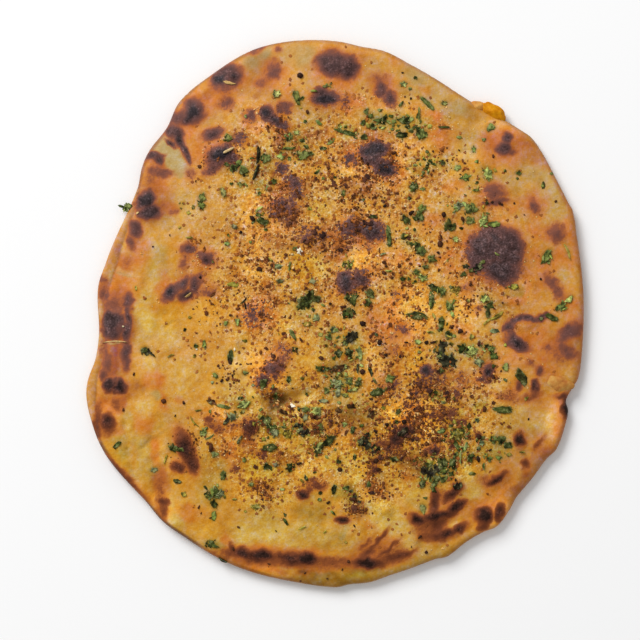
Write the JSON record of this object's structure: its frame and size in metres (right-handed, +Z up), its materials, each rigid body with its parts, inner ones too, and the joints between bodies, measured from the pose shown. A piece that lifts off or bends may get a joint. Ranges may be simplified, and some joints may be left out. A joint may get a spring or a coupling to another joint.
{
  "type": "amritsari kulcha",
  "caption": "Round stuffed flatbread: charred, blistered crust under torn coriander and crushed spice, round a thin potato filling that breaks out at the rim.",
  "frame": {"origin": "on the floor, under the middle of the bread's bounding box", "axes": "+Z up out of the charred top, +Y along the bread's length"},
  "size_m": [0.1996, 0.2198, 0.0104],
  "materials": {
    "crust": "dry baked dough, golden with dark blisters",
    "filling": "moist mashed potato coloured with turmeric",
    "coriander": "wilted leaf",
    "spice": "crushed dry seeds"
  },
  "bodies": {
    "root": {"bread": "crust", "filling": "filling"}
  },
  "joints": []
}
